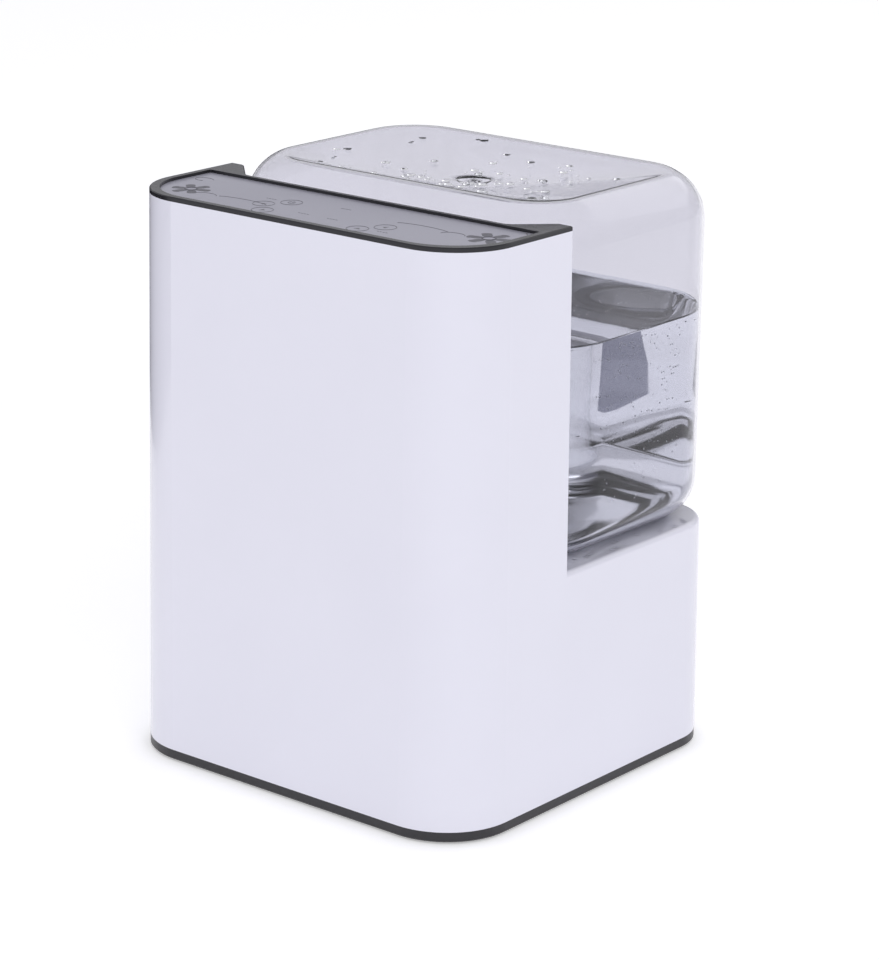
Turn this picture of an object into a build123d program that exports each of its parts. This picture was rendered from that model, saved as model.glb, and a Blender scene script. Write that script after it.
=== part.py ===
from build123d import *
import math
import os

os.makedirs("parts", exist_ok=True)

# Countertop cool mist humidifier: a drafted white housing whose front tower holds the
# electronics and the mist duct, and whose rear deck carries an inverted clear tank.
# Millimetres, +Z up, front towards -Y. Origin: centre of the overall box, on the floor.

# overall sizes
base_width = 240.0          # across the foot of the housing
base_depth = 231.8          # front to back at the foot of the housing
tank_overhang = 7.0         # the tank stands this far behind the foot
housing_top = 312.1         # top rim of the white housing
deck_z = 130.3              # deck that the tank stands on
front_corner_r = 40.0
rear_corner_r = 32.0
draft_slope = 0.0101        # lean of every outside wall, mm per mm
shell_wall = 3.0

# tank
tank_width = 235.0
tank_depth = 165.9
tank_height = 191.4
tank_corner_r = 48.0
tank_top_r = 30.0
tank_foot_r = 22.0
tank_wall = 2.0
dish_margin = 24.0          # rim left round the dished top
dish_depth = 7.0
dish_angle = 72.0           # lean of the dish's sides from upright
neck_r = 32.0
neck_wall = 3.0
neck_length = 26.0
flange_thick = 1.5
flange_reach = 6.0
cap_wall = 3.0
cap_end = 3.0

# clearances
tank_gap = 1.5              # tank to the tower behind it
ear_gap = 1.2               # tank corner to the ears
seat_gap = 0.3              # parts that rest on each other across a joint
slip = 0.3                  # a part let into another
screw_slip = 0.05           # screw shank to its hole, each side
running = 0.06              # shaft in its bearing, each side

# lid, base and tower
foot_lift = 1.0
band_top = 6.6              # top of the black base band
floor_plate = 3.0
cover_lip = 2.5
cover_plug = 3.1
panel_margin = 4.1          # cover rim round the control panel
panel_back = 3.0            # cover strip behind the control panel
panel_sink = 1.6
panel_film = 0.8
wing_depth = 89.9           # front of the foot to the rear edge of the ears
deck_edge_r = 3.0

# derived places
front_y = -(base_depth + tank_overhang) / 2
rear_y = front_y + base_depth
tank_rear = rear_y + tank_overhang
tank_front = tank_rear - tank_depth
tank_y = (tank_front + tank_rear) / 2
tank_z = deck_z + seat_gap
tank_top = tank_z + tank_height
wing_y = front_y + wing_depth
tower_back = tank_front - tank_gap
cover_top = housing_top + cover_lip
deck_under = deck_z - shell_wall
ear_x = tank_width / 2 - tank_corner_r + math.sqrt(2) * (tank_corner_r + ear_gap)
ear_x -= tank_front + tank_corner_r - wing_y      # where the ear's slant meets its rear edge
strip_x = ear_x - (wing_y - tower_back)           # where the slant meets the tower's back


def half_width(z):
    return base_width / 2 - draft_slope * z


def outline(z, inset=0.0):
    """Plan of the housing at height z, drawn in from its outside by inset."""
    ease = draft_slope * z + inset
    with Locations((0, (front_y + rear_y) / 2)):
        Rectangle(base_width - 2 * ease, base_depth - 2 * ease)
    fillet(vertices().group_by(Axis.Y)[0], front_corner_r - ease)
    fillet(vertices().group_by(Axis.Y)[-1], rear_corner_r - ease)


def drafted_block(low, high, inset=0.0, mode=Mode.ADD):
    """The housing's leaning outside between two heights."""
    with BuildSketch(Plane.XY.offset(low)) as foot:
        outline(low, inset)
    with BuildSketch(Plane.XY.offset(high)) as head:
        outline(high, inset)
    loft([foot.sketch, head.sketch], ruled=True, mode=mode)


def tank_bay(low, high, grow=0.0):
    """Cuts away all that lies behind the tower, where the tank stands."""
    back, wing = tower_back - grow, wing_y - grow
    side = grow * (math.sqrt(2) - 1)
    far = base_width
    with BuildSketch(Plane.XY.offset(low)) as bay:
        with BuildLine():
            Polyline((-far, wing), (-ear_x - side, wing), (-strip_x - side, back),
                     (strip_x + side, back), (ear_x + side, wing), (far, wing),
                     (far, far), (-far, far), close=True)
        make_face()
        corners = vertices().filter_by(lambda v: abs(v.X) < ear_x + side + 1)
        fillet(corners.filter_by(lambda v: v.Y < back + 1), 8.0)
        corners = vertices().filter_by(lambda v: abs(abs(v.X) - ear_x - side) < 1 and v.Y > wing - 1)
        fillet(corners, 2.5)
    extrude(bay.sketch, amount=high - low, mode=Mode.SUBTRACT)


def tower_block(low, high, inset=0.0):
    """Solid tower between two heights: leaning outside, bay cut out behind."""
    drafted_block(low, high, inset)
    tank_bay(low - 1, high + 1, inset)


def cylinder_between(x, y, low, high, radius, mode=Mode.ADD):
    with BuildSketch(Plane.XY.offset(low)) as disc:
        with Locations((x, y)):
            Circle(radius)
    extrude(disc.sketch, amount=high - low, mode=mode)


def block_between(x_span, y_span, z_span, corner=0.0, mode=Mode.ADD):
    with BuildSketch(Plane.XY.offset(z_span[0])) as plan:
        with Locations(((x_span[0] + x_span[1]) / 2, (y_span[0] + y_span[1]) / 2)):
            if corner:
                RectangleRounded(x_span[1] - x_span[0], y_span[1] - y_span[0], corner)
            else:
                Rectangle(x_span[1] - x_span[0], y_span[1] - y_span[0])
    extrude(plan.sketch, amount=z_span[1] - z_span[0], mode=mode)


def screw(x, y, seat, length, up=True, shank_r=1.45, head_r=2.8, head_h=2.0):
    """Pan head screw with a cross recess. seat is the face its head bears on."""
    way = 1 if up else -1
    low, high = sorted((seat, seat + way * length))
    cylinder_between(x, y, low, high, shank_r)
    low, high = sorted((seat, seat - way * head_h))
    cylinder_between(x, y, low, high, head_r)
    slot = seat - way * head_h
    low, high = sorted((slot, slot + way * head_h / 2))
    block_between((x - 1.6, x + 1.6), (y - 0.4, y + 0.4), (low, high), mode=Mode.SUBTRACT)
    block_between((x - 0.4, x + 0.4), (y - 1.6, y + 1.6), (low, high), mode=Mode.SUBTRACT)


def save(name, label):
    name.part.label = label
    export_step(name.part, "parts/" + label + ".step")


# water basin and what hangs on it
shank_r = 1.45
hole_r = shank_r + screw_slip
fine_shank_r = 0.8          # transducer screws
slim_shank_r = 1.05         # fan screws
basin_half = 62.0
basin_front = front_y + 13.4
basin_wall = 2.5
basin_floor = 3.0
basin_z = 60.0
basin_top = deck_under - seat_gap
basin_inside = basin_z + basin_floor
well_r = neck_r + cap_wall + 8.0
basin_rear = tank_y + well_r + 9.0
lid_thick = 2.5
lid_z = deck_under
lid_top = lid_z + lid_thick
lid_back = tower_back - shell_wall - 0.4
chamber_y = (basin_front + lid_back) / 2
duct_x = -34.0
duct_y = lid_back - 18.7
duct_r = 16.0
duct_wall = 1.8
fan_x = 26.0
fan_size = 50.0
fan_depth = 15.0
fan_z = lid_top + slip
post_inset = 6.0
lid_posts = [(sx * (basin_half - post_inset), y)
             for sx in (-1, 1) for y in (basin_front + post_inset, lid_back - post_inset)]
lug_x = basin_half + 5.0
lug_ys = (-20.0, 70.0)
lug_top = 114.7
boss_bottom = lug_top + seat_gap
float_x = 32.0
transducer_r = 10.0
transducer_bolt_r = 14.3
transducer_plate_r = 17.0
fan_bolt = 20.0             # fan screws, each way from the fan's middle
fan_throat_r = 21.5

# mist outlet, flush in the tower's left side
outlet_drop = 52.1          # from the housing's rim to the outlet's middle
outlet_z = housing_top - outlet_drop
elbow_r = 26.0
outlet_r = duct_r + 0.3 + 2.2

# rear fittings
grille_x = -10.0
grille_width = 96.0
grille_low, grille_high = 22.0, 54.0
inlet_x = 76.0
inlet_z = 30.0
inlet_width, inlet_height = 25.0, 15.0

# fixing points
base_bosses = [(-96.0, -70.0), (96.0, -70.0), (-104.0, 10.0), (104.0, 10.0),
               (-97.0, 84.0), (97.0, 84.0)]
boss_r = 5.0
cover_posts = [(-100.0, -50.0), (100.0, -50.0), (-70.0, front_y + 13.0), (70.0, front_y + 13.0)]
side_post_x = 90.0          # cover posts beyond this stand on ledges from the side walls
ledge_drop = 27.1
ledge_z = housing_top - ledge_drop
ledge_thick = 3.0
window_half = 62.0
window_low = deck_z + 16.7
window_high = housing_top - 16.1

# housing
with BuildPart() as tower_core:
    tower_block(deck_under - 2, housing_top + 2, shell_wall)

with BuildPart() as housing_shell:
    drafted_block(band_top, housing_top)
    tank_bay(deck_z, housing_top + 5)
    deck_rim = edges().filter_by(lambda e: abs(e.center().Z - deck_z) < 0.01)
    outer_rim = deck_rim.filter_by(lambda e: e.center().Y > wing_y + 2)
    fillet(outer_rim, deck_edge_r)
    drafted_block(band_top, deck_under, shell_wall, Mode.SUBTRACT)
    add(tower_core.part, mode=Mode.SUBTRACT)
    # well that the tank's cap drops into
    cylinder_between(0, tank_y, deck_under - 1, deck_z + 1, well_r, Mode.SUBTRACT)
    # window in the tower's back, closed by the back panel
    block_between((-window_half, window_half), (tower_back - shell_wall - 2, tower_back + 1),
                  (window_low, window_high), mode=Mode.SUBTRACT)
    # mist outlet in the left wall
    with BuildSketch(Plane.YZ.offset(-base_width / 2)):
        with Locations((duct_y, outlet_z)):
            Circle(outlet_r + slip)
    extrude(amount=10, mode=Mode.SUBTRACT)
    # air intake and power inlet in the rear wall
    block_between((grille_x - grille_width / 2, grille_x + grille_width / 2),
                  (rear_y - 8, rear_y + 1), (grille_low, grille_high), mode=Mode.SUBTRACT)
    block_between((inlet_x - inlet_width / 2, inlet_x + inlet_width / 2), (rear_y - 8, rear_y + 1),
                  (inlet_z - inlet_height / 2, inlet_z + inlet_height / 2), mode=Mode.SUBTRACT)
    # screw bosses for the base, each on a rib from the nearest side wall
    for x, y in base_bosses:
        cylinder_between(x, y, floor_plate + foot_lift + slip, 42, boss_r)
        wall_x = math.copysign(half_width(42) - shell_wall / 2, x)
        block_between(sorted((x, wall_x)), (y - 1.2, y + 1.2), (band_top + 4, 42))
        cylinder_between(x, y, 0, 30, hole_r, Mode.SUBTRACT)
    # bosses under the deck for the basin
    for sx in (-1, 1):
        for y in lug_ys:
            cylinder_between(sx * lug_x, y, boss_bottom, deck_under + 1, 4.5)
            cylinder_between(sx * lug_x, y, boss_bottom - 1, boss_bottom + 9, hole_r, Mode.SUBTRACT)
    # ledges that hold the top cover's posts
    for x, y in cover_posts:
        if abs(x) > side_post_x:
            reach = math.copysign(half_width(ledge_z) - shell_wall / 2, x)
            block_between(sorted((x - math.copysign(6, x), reach)), (y - 6, y + 6),
                          (ledge_z, ledge_z + ledge_thick))
        else:
            block_between((x - 6, x + 6), (front_y + draft_slope * ledge_z + 1.5, y + 6),
                          (ledge_z, ledge_z + ledge_thick))
        cylinder_between(x, y, ledge_z - 1, ledge_z + ledge_thick + 1, hole_r + 0.2, Mode.SUBTRACT)
save(housing_shell, "housing_shell")

groove_count = 5
groove_margin = 20.0
groove_width = 3.0
groove_pitch = (window_high - window_low - 2 * groove_margin - 5.0) / (groove_count - 1)
with BuildPart() as tower_back_panel:
    inner = tower_back - shell_wall
    block_between((-window_half + slip, window_half - slip), (inner - slip, tower_back),
                  (window_low + slip, window_high - slip))
    block_between((-window_half - 5, window_half + 5), (inner - slip - 2, inner - slip),
                  (window_low - 5, window_high + 5))
    for k in range(groove_count):
        z = window_low + groove_margin + groove_pitch * k
        block_between((-window_half + 14, window_half - 14), (tower_back - 0.8, tower_back + 1),
                      (z, z + groove_width), mode=Mode.SUBTRACT)
save(tower_back_panel, "tower_back_panel")

# base
foot_places = [(-80.0, -84.0), (80.0, -84.0), (-80.0, 72.0), (80.0, 72.0)]
foot_r = 9.0
foot_thick = 2.4
board_z = 14.0
power_board_at = (54.0, 46.0)
power_board_size = (76.0, 56.0)
driver_board_at = (-52.0, -8.0)
driver_board_size = (62.0, 46.0)
board_thick = 1.6


def board_corners(at, size):
    return [(at[0] + sx * (size[0] / 2 - 4), at[1] + sy * (size[1] / 2 - 4))
            for sx in (-1, 1) for sy in (-1, 1)]


board_posts = (board_corners(power_board_at, power_board_size)
               + board_corners(driver_board_at, driver_board_size))

with BuildPart() as base_plate:
    drafted_block(foot_lift, band_top)
    chamfer(edges().group_by(Axis.Z)[0], 0.8)
    drafted_block(foot_lift + floor_plate, band_top, shell_wall + 1.5, Mode.SUBTRACT)
    # locating rim inside the housing wall
    drafted_block(band_top - 1, band_top + 3, shell_wall + slip)
    drafted_block(foot_lift + floor_plate, band_top + 3, shell_wall + slip + 2.2, Mode.SUBTRACT)
    for x, y in foot_places:
        cylinder_between(x, y, foot_lift, foot_lift + floor_plate + 1.2, foot_r + 2)
        cylinder_between(x, y, foot_lift - 1, foot_thick, foot_r + 0.1, Mode.SUBTRACT)
    for x, y in board_posts:
        cylinder_between(x, y, foot_lift + floor_plate - 1, board_z, 3.2)
        cylinder_between(x, y, board_z - 7, board_z + 1, hole_r, Mode.SUBTRACT)
    for x, y in base_bosses:
        cylinder_between(x, y, foot_lift - 1, foot_lift + floor_plate + 1, hole_r + 0.2, Mode.SUBTRACT)
        cylinder_between(x, y, foot_lift - 1, foot_lift + 1.2, 3.2, Mode.SUBTRACT)
        # the boss stands through the locating rim where the two meet
        cylinder_between(x, y, foot_lift + floor_plate, band_top + 4, boss_r + slip, Mode.SUBTRACT)
save(base_plate, "base_plate")

with BuildPart() as foot_pads:
    for x, y in foot_places:
        cylinder_between(x, y, 0, foot_thick, foot_r)
    chamfer(edges().group_by(Axis.Z)[0], 0.4)
save(foot_pads, "foot_pads")

with BuildPart() as base_screws:
    for x, y in base_bosses:
        screw(x, y, foot_lift + 1.2, 16, head_h=1.1)
save(base_screws, "base_screws")

# top cover and control panel
cover_under = housing_top - cover_plug
panel_front = front_y + draft_slope * cover_top + panel_margin
panel_rear = tower_back - panel_back
panel_half = half_width(cover_top) - panel_margin
panel_corner_r = front_corner_r - panel_margin
panel_floor = cover_top - panel_sink - panel_film
key_places = [(-29.3, -78.5), (-38.4, -90.2), (-28.8, -101.7), (44.5, -90.2), (35.8, -101.7)]
control_drop = 13.1
control_z = housing_top - control_drop
control_posts = [(sx * 78.0, chamber_y + sy * 14.0) for sx in (-1, 1) for sy in (-1, 1)]
control_half_x, control_half_y = 90.0, 21.0


def panel_plan(inset):
    with Locations((0, (panel_front + panel_rear) / 2)):
        Rectangle(2 * (panel_half - inset), panel_rear - panel_front - 2 * inset)
    fillet(vertices().group_by(Axis.Y)[0], panel_corner_r - inset)
    fillet(vertices().group_by(Axis.Y)[-1], 1.0)


with BuildPart() as cover_inside:
    tower_block(cover_under, housing_top, shell_wall + slip)

with BuildPart() as top_cover:
    tower_block(housing_top, cover_top)
    chamfer(faces().sort_by(Axis.Z)[-1].outer_wire().edges(), 0.5)
    add(cover_inside.part)
    with BuildSketch(Plane.XY.offset(panel_floor)):
        panel_plan(0)
    extrude(amount=10, mode=Mode.SUBTRACT)
    for x, y in cover_posts:
        cylinder_between(x, y, ledge_z + ledge_thick + seat_gap, cover_under + 1, 4.0)
        cylinder_between(x, y, ledge_z, ledge_z + 14, hole_r, Mode.SUBTRACT)
    for x, y in control_posts:
        cylinder_between(x, y, control_z + board_thick, cover_under + 1, 3.0)
        cylinder_between(x, y, control_z, cover_under - 1, hole_r, Mode.SUBTRACT)
save(top_cover, "top_cover")

with BuildPart() as cover_screws:
    for x, y in cover_posts:
        screw(x, y, ledge_z, 12)
save(cover_screws, "cover_screws")

with BuildPart() as control_panel:
    with BuildSketch(Plane.XY.offset(panel_floor)):
        panel_plan(0.15)
    extrude(amount=panel_film)
save(control_panel, "control_panel")

with BuildPart() as control_board:
    block_between((-control_half_x, control_half_x),
                  (chamber_y - control_half_y, chamber_y + control_half_y),
                  (control_z, control_z + board_thick), 2.0)
    for x, y in control_posts:
        cylinder_between(x, y, control_z - 1, control_z + 3, hole_r + 0.1, Mode.SUBTRACT)
save(control_board, "control_board")

with BuildPart() as control_screws:
    for x, y in control_posts:
        screw(x, y, control_z, 7)
save(control_screws, "control_screws")

with BuildPart() as touch_spring:
    wire_r = 0.35
    coil_bottom = control_z + board_thick + wire_r
    coil_top = cover_under - wire_r
    with BuildLine() as coil:
        Helix(pitch=(coil_top - coil_bottom) / 4, height=coil_top - coil_bottom, radius=3.2,
              center=(0, 0, coil_bottom))
    with BuildSketch(Plane(coil.line @ 0, z_dir=coil.line % 0)):
        Circle(wire_r)
    sweep(is_frenet=True)

with BuildPart() as touch_springs:
    with Locations(*[(x, y, 0) for x, y in key_places]):
        add(touch_spring.part)
save(touch_springs, "touch_springs")

with BuildPart() as indicator_leds:
    for k in range(5):
        x = -6.0 + 5.0 * k
        block_between((x - 1.6, x + 1.6), (chamber_y - 1, chamber_y + 1),
                      (control_z + board_thick, control_z + board_thick + 0.9))
save(indicator_leds, "indicator_leds")

# water basin
with BuildPart() as water_basin:
    block_between((-basin_half, basin_half), (basin_front, basin_rear), (basin_z, basin_top), 12)
    block_between((-basin_half + basin_wall, basin_half - basin_wall),
                  (basin_front + basin_wall, basin_rear - basin_wall),
                  (basin_inside, basin_top + 1), 10, Mode.SUBTRACT)
    # low wall that parts the mist chamber from the supply well, open along the floor
    block_between((-basin_half + 1, basin_half - 1), (lid_back - 2.5, lid_back), (90, basin_top))
    for x, y in lid_posts:
        cylinder_between(x, y, basin_inside - 1, basin_top, 4.0)
        cylinder_between(x, y, basin_top - 12, basin_top + 1, hole_r, Mode.SUBTRACT)
    for sx in (-1, 1):
        for y in lug_ys:
            cylinder_between(sx * lug_x, y, lug_top - 3, lug_top, 5.5)
            block_between(sorted((sx * (basin_half - 1), sx * lug_x)), (y - 5.5, y + 5.5),
                          (lug_top - 3, lug_top))
            cylinder_between(sx * lug_x, y, lug_top - 4, lug_top + 1, hole_r + 0.2, Mode.SUBTRACT)
    # seat of the ultrasonic transducer, opened through the floor
    cylinder_between(duct_x, duct_y, basin_z - 3, basin_z + 1, transducer_plate_r)
    cylinder_between(duct_x, duct_y, basin_z - 4, basin_inside + 1, transducer_r - 2, Mode.SUBTRACT)
    cylinder_between(duct_x, duct_y, basin_z - 4, basin_z - 0.6, transducer_r + 1.5, Mode.SUBTRACT)
    with Locations((duct_x, duct_y, basin_z - 3)):
        with PolarLocations(transducer_bolt_r, 3):
            Hole(fine_shank_r + 0.1, depth=5)
    # socket of the level post
    cylinder_between(float_x, chamber_y, basin_z, basin_inside + 1.5, 5.5)
    cylinder_between(float_x, chamber_y, basin_z - 1, basin_inside + 2, 3.0, Mode.SUBTRACT)
save(water_basin, "water_basin")

with BuildPart() as basin_screws:
    for sx in (-1, 1):
        for y in lug_ys:
            screw(sx * lug_x, y, lug_top - 3, 10)
save(basin_screws, "basin_screws")

with BuildPart() as transducer_disc:
    cylinder_between(duct_x, duct_y, basin_z - 2.6, basin_z - 1.4, transducer_r)
save(transducer_disc, "transducer_disc")

with BuildPart() as transducer_seal:
    cylinder_between(duct_x, duct_y, basin_z - 1.4, basin_z - 0.6, transducer_r + 1.0)
    cylinder_between(duct_x, duct_y, basin_z - 2, basin_z, transducer_r - 2, Mode.SUBTRACT)
save(transducer_seal, "transducer_seal")

with BuildPart() as transducer_plate:
    cylinder_between(duct_x, duct_y, basin_z - 5, basin_z - 3, transducer_plate_r)
    cylinder_between(duct_x, duct_y, basin_z - 3, basin_z - 2.6, transducer_r + 1)
    cylinder_between(duct_x, duct_y, basin_z - 6, basin_z - 2, 4, Mode.SUBTRACT)
    with Locations((duct_x, duct_y, basin_z - 5)):
        with PolarLocations(transducer_bolt_r, 3):
            Hole(fine_shank_r + 0.3, depth=4)
save(transducer_plate, "transducer_plate")

with BuildPart() as transducer_screws:
    for k in range(3):
        turn = 2 * math.pi * k / 3
        x = duct_x + transducer_bolt_r * math.cos(turn)
        y = duct_y + transducer_bolt_r * math.sin(turn)
        screw(x, y, basin_z - 5, 4.5, shank_r=fine_shank_r, head_r=2.0, head_h=1.4)
save(transducer_screws, "transducer_screws")

# valve pin in the well: three feet and a post that meets the valve stem
cap_bottom = tank_z - neck_length - 1.6 - cap_end
stem_reach = 4.0
stem_low = cap_bottom - stem_reach
with BuildPart() as valve_pin:
    cylinder_between(0, tank_y, basin_inside, basin_inside + 3, 14)
    cylinder_between(0, tank_y, basin_inside, stem_low - seat_gap, 3.0)
    for k in range(3):
        with BuildSketch(Plane(origin=(0, tank_y, 0), x_dir=(math.cos(2.1 * k), math.sin(2.1 * k), 0),
                               z_dir=(math.sin(2.1 * k), -math.cos(2.1 * k), 0))):
            with BuildLine():
                Polyline((0, basin_inside + 1), (12, basin_inside + 1), (12, basin_inside + 4),
                         (3, basin_inside + 18), (0, basin_inside + 18), close=True)
            make_face()
        extrude(amount=0.8, both=True)
save(valve_pin, "valve_pin")

# mist chamber lid, duct and outlet
collar_r = duct_r + 0.3
with BuildPart() as chamber_lid:
    block_between((-basin_half, basin_half), (basin_front, lid_back), (lid_z, lid_top), 4)
    cylinder_between(duct_x, duct_y, lid_top - 1, lid_top + 8, collar_r + 2)
    cylinder_between(duct_x, duct_y, lid_top, lid_top + 9, collar_r, Mode.SUBTRACT)
    cylinder_between(duct_x, duct_y, lid_z - 1, lid_top + 1, duct_r - duct_wall, Mode.SUBTRACT)
    cylinder_between(fan_x, chamber_y, lid_z - 1, lid_top + 1, fan_throat_r, Mode.SUBTRACT)
    for x, y in lid_posts:
        cylinder_between(x, y, lid_z - 1, lid_top + 1, hole_r + 0.2, Mode.SUBTRACT)
    for sx in (-1, 1):
        for sy in (-1, 1):
            cylinder_between(fan_x + fan_bolt * sx, chamber_y + fan_bolt * sy, lid_z - 1, lid_top + 1,
                             slim_shank_r + screw_slip, Mode.SUBTRACT)
save(chamber_lid, "chamber_lid")

with BuildPart() as lid_gasket:
    block_between((-basin_half + 0.4, basin_half - 0.4), (basin_front + 0.4, lid_back - 0.4),
                  (basin_top, lid_z), 4)
    block_between((-basin_half + 2.2, basin_half - 2.2), (basin_front + 2.2, lid_back - 2.2),
                  (basin_top - 1, lid_z + 1), 3, Mode.SUBTRACT)
save(lid_gasket, "lid_gasket")

with BuildPart() as lid_screws:
    for x, y in lid_posts:
        screw(x, y, lid_top, 12, up=False)
save(lid_screws, "lid_screws")

duct_end = -(half_width(outlet_z) - shell_wall - 1.5)
elbow_straight = 8.0
elbow_low = outlet_z - elbow_r - elbow_straight
elbow_end = duct_x - elbow_r - elbow_straight
spigot_length = 7.0
spigot_wall = 1.6


def upright_tube(low, high, outer, inner):
    cylinder_between(duct_x, duct_y, low, high, outer)
    cylinder_between(duct_x, duct_y, low - 1, high + 1, inner, Mode.SUBTRACT)


def level_tube(start, stop, radius, mode=Mode.ADD):
    with BuildSketch(Plane.YZ.offset(start)) as section:
        with Locations((duct_y, outlet_z)):
            Circle(radius)
    extrude(section.sketch, amount=stop - start, mode=mode)


def elbow_run(radius, over=0.0, mode=Mode.ADD):
    """Short upright tube, quarter bend and short level tube towards the left wall."""
    cylinder_between(duct_x, duct_y, elbow_low - over, outlet_z - elbow_r, radius, mode)
    with BuildSketch(Plane.XY.offset(outlet_z - elbow_r)) as throat:
        with Locations((duct_x, duct_y)):
            Circle(radius)
    bend_axis = Axis((duct_x - elbow_r, duct_y, outlet_z - elbow_r), (0, -1, 0))
    revolve(throat.sketch, axis=bend_axis, revolution_arc=90, mode=mode)
    level_tube(elbow_end - over, duct_x - elbow_r, radius, mode)


with BuildPart() as mist_riser:
    upright_tube(lid_top, elbow_low, duct_r, duct_r - duct_wall)
save(mist_riser, "mist_riser")

bore_r = duct_r - duct_wall
with BuildPart() as mist_elbow:
    elbow_run(duct_r)
    elbow_run(bore_r, 1.0, Mode.SUBTRACT)
    # spigot that pushes into the riser's end
    upright_tube(elbow_low - spigot_length, elbow_low, bore_r - slip / 2, bore_r - spigot_wall)
    cylinder_between(duct_x, duct_y, elbow_low - 1, elbow_low + spigot_wall, bore_r)
    cylinder_between(duct_x, duct_y, elbow_low - 2, elbow_low + spigot_wall + 1,
                     bore_r - spigot_wall, Mode.SUBTRACT)
save(mist_elbow, "mist_elbow")

with BuildPart() as mist_tail:
    level_tube(duct_end, elbow_end, duct_r)
    level_tube(duct_end - 1, elbow_end + 1, bore_r, Mode.SUBTRACT)
    level_tube(elbow_end, elbow_end + spigot_length, bore_r - slip / 2)
    level_tube(elbow_end - spigot_wall, elbow_end + 1, bore_r)
    level_tube(elbow_end - spigot_wall - 1, elbow_end + spigot_length + 1, bore_r - spigot_wall,
               Mode.SUBTRACT)
save(mist_tail, "mist_tail")

outlet_wall = -half_width(outlet_z) + shell_wall
with BuildPart() as outlet_space:
    drafted_block(band_top, housing_top, slip)

with BuildPart() as mist_outlet:
    with BuildSketch(Plane.YZ.offset(outlet_wall - 6)) as spigot:
        with Locations((duct_y, outlet_z)):
            Circle(outlet_r)
            Circle(collar_r, mode=Mode.SUBTRACT)
    extrude(amount=18)
    # collar behind the wall that the outlet clips against
    with BuildSketch(Plane.YZ.offset(outlet_wall + 3.0)):
        with Locations((duct_y, outlet_z)):
            Circle(outlet_r + 3)
            Circle(collar_r, mode=Mode.SUBTRACT)
    extrude(amount=1.6)
    # leaning slats across the mouth
    with BuildSketch(Plane.XZ.offset(-duct_y - duct_r - 1)):
        for k in range(-2, 3):
            with Locations((outlet_wall - 1.2, outlet_z + 6.5 * k)):
                Rectangle(4.0, 1.4, rotation=35)
    extrude(amount=2 * duct_r + 2)
    with BuildSketch(Plane.YZ.offset(outlet_wall - 9)):
        with Locations((duct_y, outlet_z)):
            Circle(outlet_r + 20)
            Circle(outlet_r, mode=Mode.SUBTRACT)
    extrude(amount=11, mode=Mode.SUBTRACT)
    add(outlet_space.part, mode=Mode.INTERSECT)
save(mist_outlet, "mist_outlet")

# fan
shaft_r = 1.5
hub_r = 11.0
blade_tip_r = 21.4
arm_length = 14.0
blade_count = 7
blade_pitch = 38.0
with BuildPart() as fan_frame:
    half = fan_size / 2
    block_between((fan_x - half, fan_x + half), (chamber_y - half, chamber_y + half),
                  (fan_z, fan_z + fan_depth), 3)
    cylinder_between(fan_x, chamber_y, fan_z - 1, fan_z + fan_depth + 1, fan_throat_r + 1, Mode.SUBTRACT)
    # motor mount on three arms, with the bearing tube
    cylinder_between(fan_x, chamber_y, fan_z, fan_z + 2, hub_r)
    for k in range(3):
        with BuildSketch(Plane.XY.offset(fan_z)):
            with Locations((fan_x, chamber_y)):
                with PolarLocations((hub_r + fan_throat_r) / 2, 1, start_angle=30 + 120 * k):
                    Rectangle(arm_length, 3)
        extrude(amount=2)
    cylinder_between(fan_x, chamber_y, fan_z, fan_z + 9, 4.0)
    cylinder_between(fan_x, chamber_y, fan_z - 1, fan_z + 10, shaft_r + running, Mode.SUBTRACT)
    for sx in (-1, 1):
        for sy in (-1, 1):
            cylinder_between(fan_x + fan_bolt * sx, chamber_y + fan_bolt * sy, fan_z - 1,
                             fan_z + fan_depth + 1, hole_r, Mode.SUBTRACT)
save(fan_frame, "fan_frame")

with BuildPart() as fan_stator:
    cylinder_between(fan_x, chamber_y, fan_z + 2, fan_z + 8, 8.6)
    cylinder_between(fan_x, chamber_y, fan_z + 1, fan_z + 9, 4.0, Mode.SUBTRACT)
save(fan_stator, "fan_stator")

with BuildPart() as fan_shaft:
    cylinder_between(fan_x, chamber_y, fan_z + 0.3, fan_z + 12.4, shaft_r)
save(fan_shaft, "fan_shaft")

with BuildPart() as fan_rotor:
    cylinder_between(fan_x, chamber_y, fan_z + 2.6, fan_z + 14, hub_r)
    cylinder_between(fan_x, chamber_y, fan_z + 2, fan_z + 9.6, hub_r - 1.5, Mode.SUBTRACT)
    cylinder_between(fan_x, chamber_y, fan_z + 9, fan_z + 12.4, shaft_r, Mode.SUBTRACT)
    for k in range(blade_count):
        turn = 360 / blade_count * k
        out = Vector(1, 0, 0).rotate(Axis.Z, turn)
        root = Vector(fan_x, chamber_y, fan_z + 8.3) + out * (hub_r - 0.6)
        with BuildSketch(Plane(root, x_dir=out.rotate(Axis.Z, 90), z_dir=out)):
            Rectangle(11.5, 1.2, rotation=blade_pitch)
        extrude(amount=blade_tip_r - hub_r)
save(fan_rotor, "fan_rotor")

with BuildPart() as fan_screws:
    for sx in (-1, 1):
        for sy in (-1, 1):
            screw(fan_x + fan_bolt * sx, chamber_y + fan_bolt * sy, fan_z + fan_depth, 17, up=False,
                  shank_r=slim_shank_r, head_r=2.4)
save(fan_screws, "fan_screws")

# level sensing
float_low = basin_inside + 1.5 + seat_gap
float_height = 12.0
float_travel = 18.0
float_r = 13.0
float_stop = float_low + float_height + float_travel + 1.5
with BuildPart() as level_post:
    cylinder_between(float_x, chamber_y, basin_z, float_stop + 2.5, 2.95)
    cylinder_between(float_x, chamber_y, float_stop, float_stop + 2, 5.0)
save(level_post, "level_post")

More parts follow.
